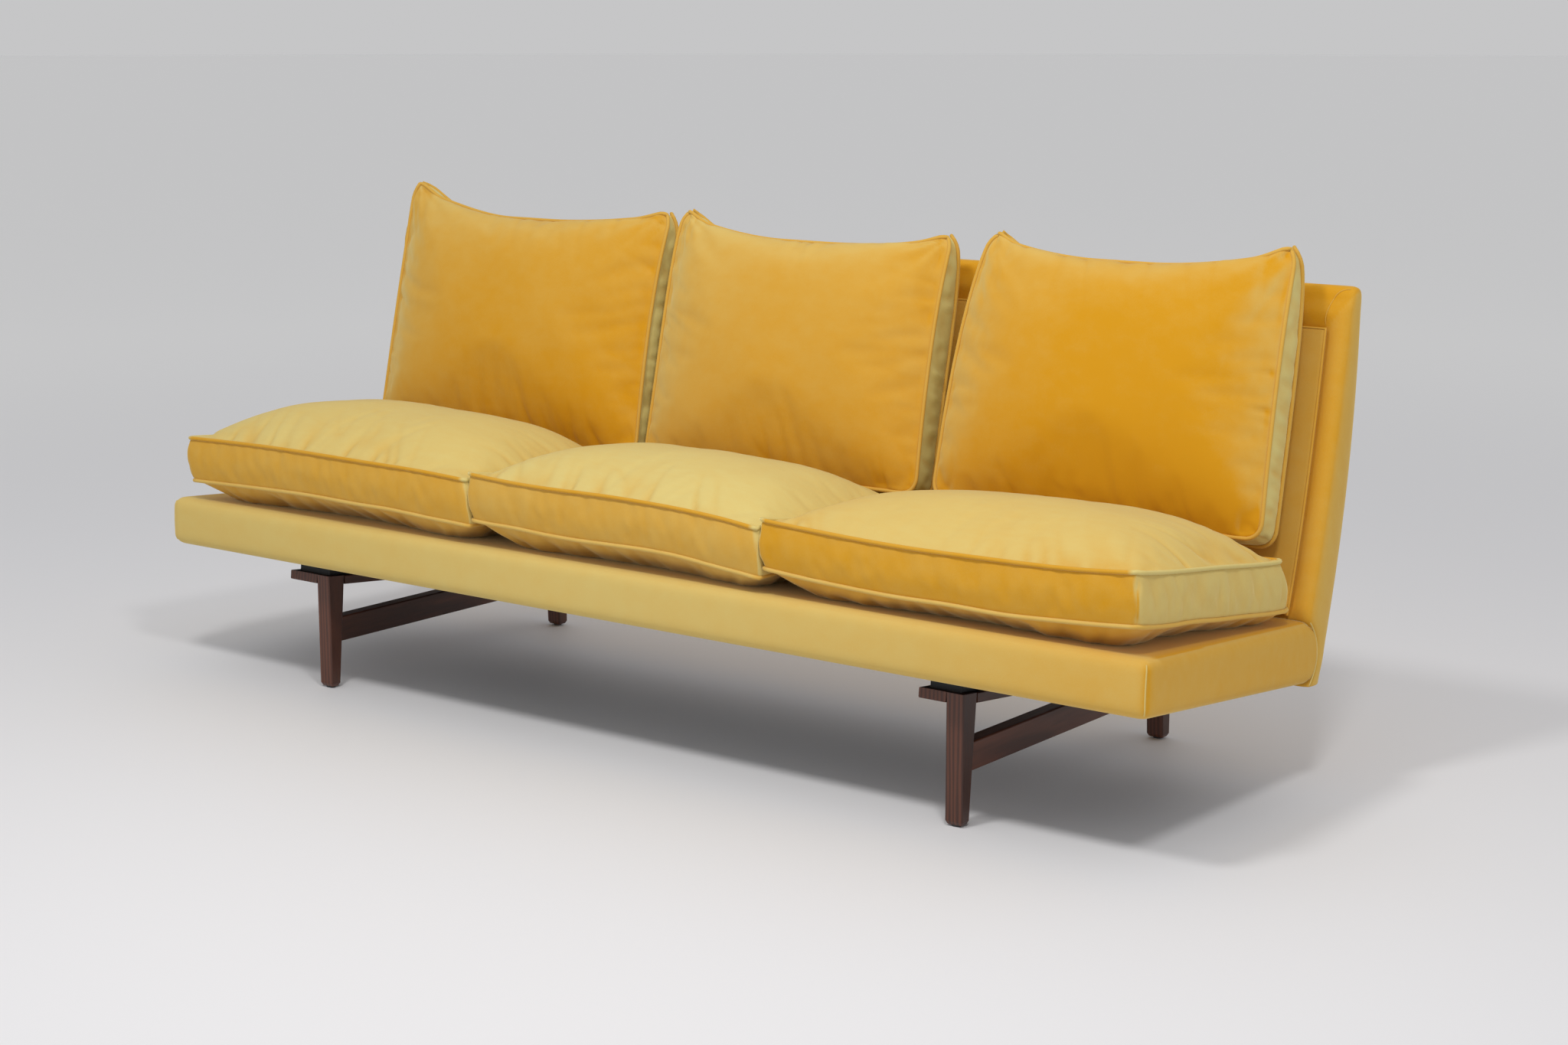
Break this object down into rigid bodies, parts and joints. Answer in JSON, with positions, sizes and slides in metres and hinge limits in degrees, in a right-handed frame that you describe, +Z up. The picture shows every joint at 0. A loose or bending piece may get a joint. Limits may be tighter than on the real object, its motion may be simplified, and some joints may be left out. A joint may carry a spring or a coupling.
{
  "type": "three-seat sofa",
  "caption": "Armless sofa: tilted padded seat base and leaning bordered back on two wooden leg frames, with loose boxed seat and back cushions.",
  "frame": {"origin": "on the floor under the middle of the bounding box", "axes": "+X along the sofa to the right as seen from the front, -Y towards the person who sits down, +Z up"},
  "size_m": [2.04, 0.674, 0.835],
  "materials": {
    "velvet": "golden yellow cotton velvet, short pile",
    "rosewood": "dark rosewood, satin oil",
    "black_wood": "black stained wood",
    "beech": "plain sawn beech",
    "foam": "cut foam in a calico wrap",
    "webbing": "ribbed rubber webbing",
    "black_cloth": "black cambric",
    "zip_tape": "woven zip tape with fine teeth",
    "black_plastic": "moulded glide",
    "steel": "zinc plated"
  },
  "bodies": {
    "frame": {"left_front_leg": "rosewood", "left_rear_leg": "rosewood", "left_stretcher": "rosewood", "left_top_board": "rosewood", "left_spacer": "black_wood", "right_front_leg": "rosewood", "right_rear_leg": "rosewood", "right_stretcher": "rosewood", "right_top_board": "rosewood", "right_spacer": "black_wood", "foot_glides": "black_plastic", "stretcher_dowels": "beech", "leg_bolts": "steel", "seat_front_rail": "beech", "seat_rear_rail": "beech", "seat_left_rail": "beech", "seat_right_rail": "beech", "left_cross_rail": "beech", "right_cross_rail": "beech", "corner_blocks": "beech", "seat_webbing": "webbing", "deck_foam": "foam", "edge_padding": "foam", "seat_cover": "velvet", "dust_cover": "black_cloth", "back_left_stile": "beech", "back_right_stile": "beech", "back_mid_posts": "beech", "back_top_rail": "beech", "back_lower_rails": "beech", "back_webbing": "webbing", "back_foam": "foam", "back_panel": "velvet", "back_cover": "velvet", "back_rear_cover": "velvet", "back_bolts": "steel"},
    "seat_cushion_left_body": {"seat_cushion_left": "velvet", "seat_core_left": "foam", "seat_zip_left": "zip_tape"},
    "seat_cushion_middle_body": {"seat_cushion_middle": "velvet", "seat_core_middle": "foam", "seat_zip_middle": "zip_tape"},
    "seat_cushion_right_body": {"seat_cushion_right": "velvet", "seat_core_right": "foam", "seat_zip_right": "zip_tape"},
    "back_cushion_left_body": {"back_cushion_left": "velvet", "back_core_left": "foam", "back_zip_left": "zip_tape"},
    "back_cushion_middle_body": {"back_cushion_middle": "velvet", "back_core_middle": "foam", "back_zip_middle": "zip_tape"},
    "back_cushion_right_body": {"back_cushion_right": "velvet", "back_core_right": "foam", "back_zip_right": "zip_tape"}
  },
  "joints": [
    {"name": "seat_cushion_left_pull", "type": "slide", "parent": "frame", "child": "seat_cushion_left_body", "axis": [0, -0.9968, 0.0802], "range_m": [0, 0.48]},
    {"name": "seat_cushion_middle_pull", "type": "slide", "parent": "frame", "child": "seat_cushion_middle_body", "axis": [0, -0.9968, 0.0802], "range_m": [0, 0.48]},
    {"name": "seat_cushion_right_pull", "type": "slide", "parent": "frame", "child": "seat_cushion_right_body", "axis": [0, -0.9968, 0.0802], "range_m": [0, 0.48]},
    {"name": "back_cushion_left_lift", "type": "slide", "parent": "frame", "child": "back_cushion_left_body", "axis": [0, 0.1908, 0.9816], "range_m": [0, 0.45]},
    {"name": "back_cushion_middle_lift", "type": "slide", "parent": "frame", "child": "back_cushion_middle_body", "axis": [0, 0.1908, 0.9816], "range_m": [0, 0.45]},
    {"name": "back_cushion_right_lift", "type": "slide", "parent": "frame", "child": "back_cushion_right_body", "axis": [0, 0.1908, 0.9816], "range_m": [0, 0.45]}
  ]
}
